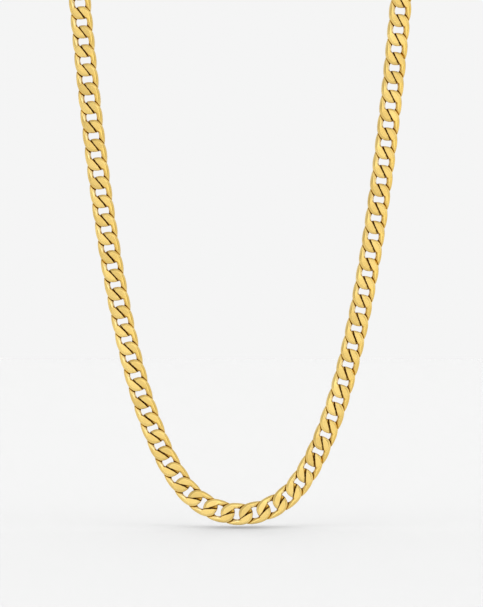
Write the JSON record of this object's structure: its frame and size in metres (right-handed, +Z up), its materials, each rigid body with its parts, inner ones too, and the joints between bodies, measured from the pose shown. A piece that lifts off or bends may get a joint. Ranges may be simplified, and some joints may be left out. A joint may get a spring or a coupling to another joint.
{
  "type": "curb chain necklace",
  "caption": "Flat curb-link neck chain in a closed loop, hung from the nape, with interlocking oval links that lie flat and a plain clasp held by two jump rings.",
  "frame": {"origin": "the middle of the clasp's underside, where the necklace hangs on the nape", "axes": "+X across the neck to the viewer's right, +Y from the chest to the nape, +Z up"},
  "size_m": [0.1234, 0.0723, 0.245],
  "materials": {
    "gold_plate": "gold plated brass, satin flat faces with polished rounded edges"
  },
  "bodies": {
    "root": {"chain_left": "gold_plate", "chain_right": "gold_plate", "ring_left": "gold_plate", "ring_right": "gold_plate", "clasp": "gold_plate"}
  },
  "joints": []
}
